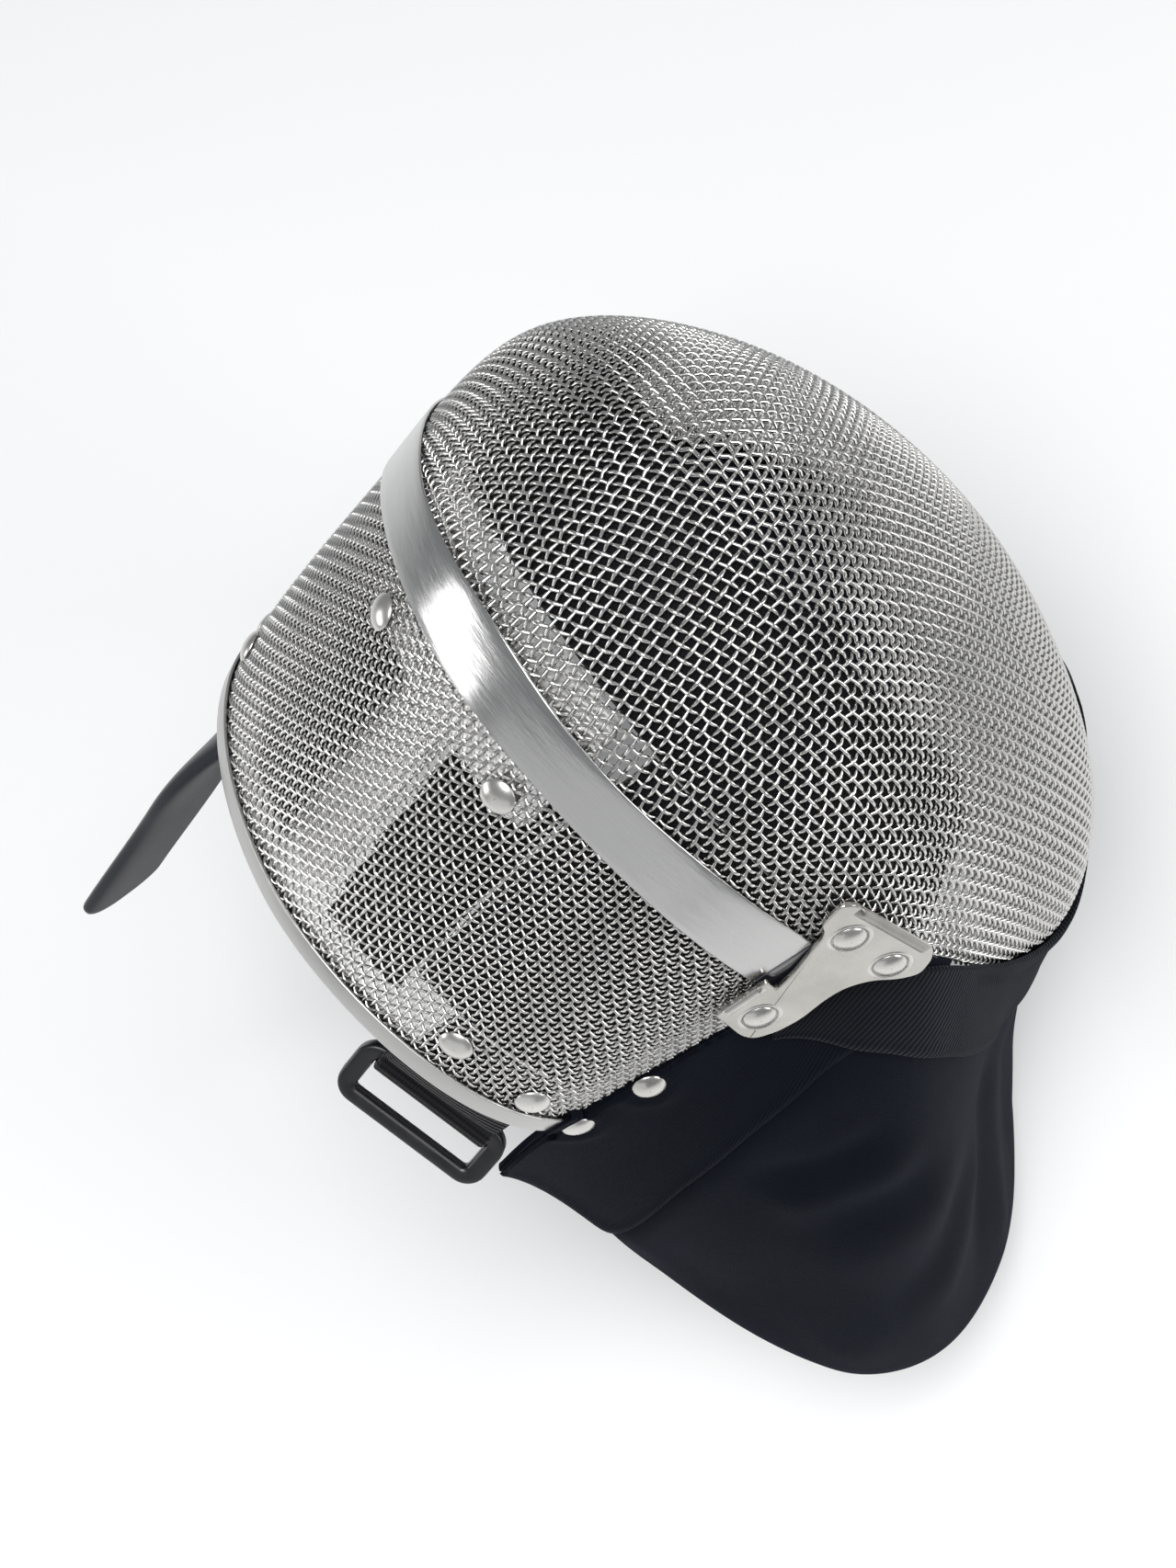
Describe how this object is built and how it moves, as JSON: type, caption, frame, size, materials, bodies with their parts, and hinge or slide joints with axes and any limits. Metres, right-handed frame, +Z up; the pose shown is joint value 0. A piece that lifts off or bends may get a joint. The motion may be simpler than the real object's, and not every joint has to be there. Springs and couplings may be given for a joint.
{
  "type": "fencing mask",
  "caption": "Domed wire-cloth face guard with a crown band, a rear rim, a flared cloth bib, a side bracket, inner pads and straps, worn over the head for fencing.",
  "frame": {"origin": "where the top of the head sits, inside the crown, 9 mm under the shell's middle surface at the centre of the crown band", "axes": "+Z up with the wearer upright, -Y out through the face, -X towards the wearer's right, where the bracket and the buckle are"},
  "size_m": [0.3355, 0.2912, 0.3737],
  "materials": {
    "wire_steel": "woven bright steel wire",
    "sheet_steel": "satin steel sheet",
    "nickel": "soft polished nickel plate",
    "black_cloth": "tight matt black bib cloth over thin padding",
    "twill_tape": "black binding tape with slanted ribs",
    "webbing_black": "ribbed black webbing",
    "sleeve_cloth": "smooth dark grey cloth over a springy strip",
    "foam_cloth": "black cloth-covered foam",
    "gloss_black": "gloss black"
  },
  "bodies": {
    "root": {"band_end_tab": "gloss_black", "band_rivet_left": "nickel", "bib": "black_cloth", "bib_facing_left": "black_cloth", "bib_facing_right": "black_cloth", "bracket_rivet_front": "nickel", "bracket_rivet_rear": "nickel", "bracket_rivet_upper": "nickel", "crown_band": "sheet_steel", "crown_mesh": "wire_steel", "crown_pad_inner_left": "foam_cloth", "crown_pad_inner_right": "foam_cloth", "crown_pad_outer_left": "foam_cloth", "crown_pad_outer_right": "foam_cloth", "crown_rivet_left": "nickel", "crown_rivet_right": "nickel", "face_mesh": "wire_steel", "facing_rivet_middle_left": "nickel", "facing_rivet_middle_right": "nickel", "facing_rivet_rear_left": "nickel", "facing_rivet_rear_right": "nickel", "forehead_pad": "foam_cloth", "jaw_trim": "twill_tape", "rear_rim": "sheet_steel", "side_bracket": "nickel", "spring_plate": "sheet_steel", "strap_buckle": "gloss_black", "strap_loop": "webbing_black", "strap_rivet_lower_left": "nickel", "strap_rivet_lower_right": "nickel", "strap_rivet_upper_left": "nickel", "strap_rivet_upper_right": "nickel", "strap_sleeve_left": "sleeve_cloth"}
  },
  "joints": []
}
